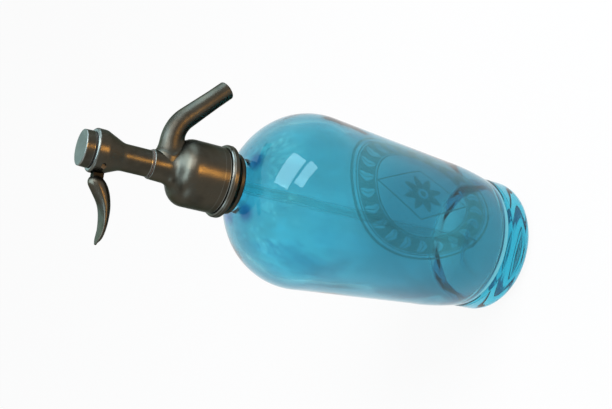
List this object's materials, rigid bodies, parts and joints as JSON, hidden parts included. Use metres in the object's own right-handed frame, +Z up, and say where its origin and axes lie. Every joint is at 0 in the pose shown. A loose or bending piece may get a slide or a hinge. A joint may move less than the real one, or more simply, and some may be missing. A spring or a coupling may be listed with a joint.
{
  "type": "soda siphon",
  "caption": "Blue glass soda siphon with a cast metal head, sprung thumb lever, lifting valve and curved spout.",
  "frame": {"origin": "centre of the base, on the bottle's axis, in the plane that the foot stands on", "axes": "+Z up along the bottle, +X towards the spout, -X towards the lever, +Y completes the right hand"},
  "size_m": [0.1169, 0.1127, 0.3026],
  "materials": {
    "blue_glass": "gloss",
    "clear_glass": "gloss",
    "aged_metal": "aged, dark brown bronze",
    "brass": "machined",
    "steel": "satin",
    "leather": "matte",
    "rubber": "matte"
  },
  "bodies": {
    "siphon": {"glass_bottle": "blue_glass", "dip_tube": "clear_glass", "lever_pin": "steel", "return_spring": "steel", "collar_half_front": "aged_metal", "collar_half_back": "aged_metal", "head_body": "aged_metal", "column": "aged_metal", "head_cap": "aged_metal", "spout": "aged_metal", "seat_insert": "brass", "gland_ring": "brass", "spring_washer": "brass", "collar_pad": "leather", "packing_washer": "leather", "column_washer": "leather", "cap_washer": "leather", "tube_bush": "rubber", "mouth_gasket": "rubber"},
    "lever": {"lever": "aged_metal"},
    "valve": {"valve_rod": "brass", "rod_yoke": "brass", "valve_holder": "brass", "valve_washer": "rubber", "washer_screw": "brass"}
  },
  "joints": [
    {"name": "lever_pivot", "type": "hinge", "parent": "siphon", "child": "lever", "pos_m": [-0.0095, 0, 0.2903], "axis": [0, -1, 0], "range_deg": [0, 14], "stiffness_Nm_per_rad": 0.123, "springref_deg": -66.23},
    {"name": "valve_lift", "type": "slide", "parent": "siphon", "child": "valve", "axis": [0, 0, 1], "range_m": [0, 0.0023], "deforming": ["return_spring"]}
  ],
  "couplings": [
    {"joint": "lever_pivot", "follows": "valve_lift", "rad_per_m": 106.2}
  ]
}
